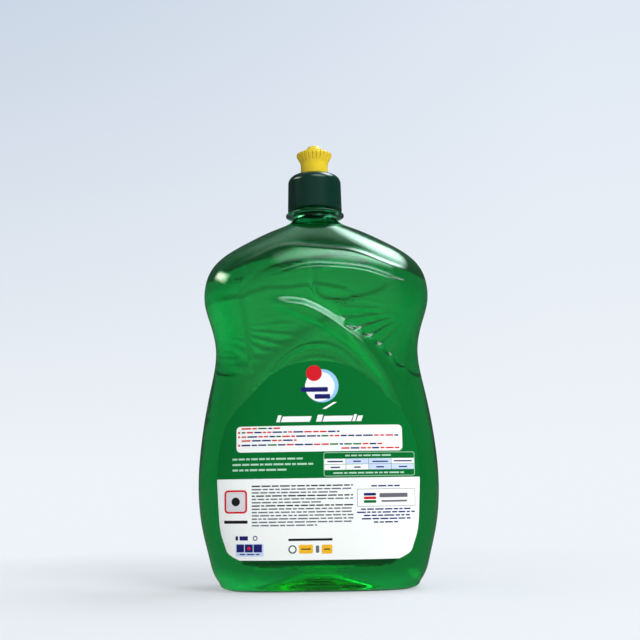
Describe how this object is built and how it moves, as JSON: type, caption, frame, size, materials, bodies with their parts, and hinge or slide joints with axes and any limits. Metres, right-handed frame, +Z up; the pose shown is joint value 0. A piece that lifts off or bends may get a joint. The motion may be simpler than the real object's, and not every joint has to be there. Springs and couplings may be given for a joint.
{
  "type": "dish soap bottle",
  "caption": "Flat-oval clear green bottle of dish soap with a blown relief, a front label, a screw cap on a threaded neck and a push-pull spout.",
  "frame": {"origin": "on the table under the middle of the bottle", "axes": "+Z up along the neck, -Y towards the front label, +X to the right seen from the front"},
  "size_m": [0.1348, 0.0764, 0.2561],
  "materials": {
    "bottle_wall": "clear emerald green, gloss",
    "soap": "clear emerald green liquid",
    "label_film": "printed film, satin",
    "cap_plastic": "dark green, gloss",
    "liner_foam": "white foam",
    "spout_plastic": "yellow, satin gloss"
  },
  "bodies": {
    "bottle": {"bottle": "bottle_wall", "dish_liquid": "soap", "label": "label_film"},
    "liner": {"cap_liner": "liner_foam"},
    "cap": {"cap": "cap_plastic"},
    "spout": {"spout": "spout_plastic"}
  },
  "joints": [
    {"name": "cap_lift", "type": "slide", "parent": "bottle", "child": "liner", "axis": [0, 0, 1], "range_m": [0, 0.006]},
    {"name": "cap_turn", "type": "hinge", "parent": "liner", "child": "cap", "pos_m": [0, 0, 0.2275], "axis": [0, 0, 1], "range_deg": [0, 540]},
    {"name": "spout_slide", "type": "slide", "parent": "cap", "child": "spout", "axis": [0, 0, 1], "range_m": [0, 0.005]}
  ],
  "couplings": [
    {"joint": "cap_lift", "follows": "cap_turn", "m_per_rad": 0.00063662}
  ]
}
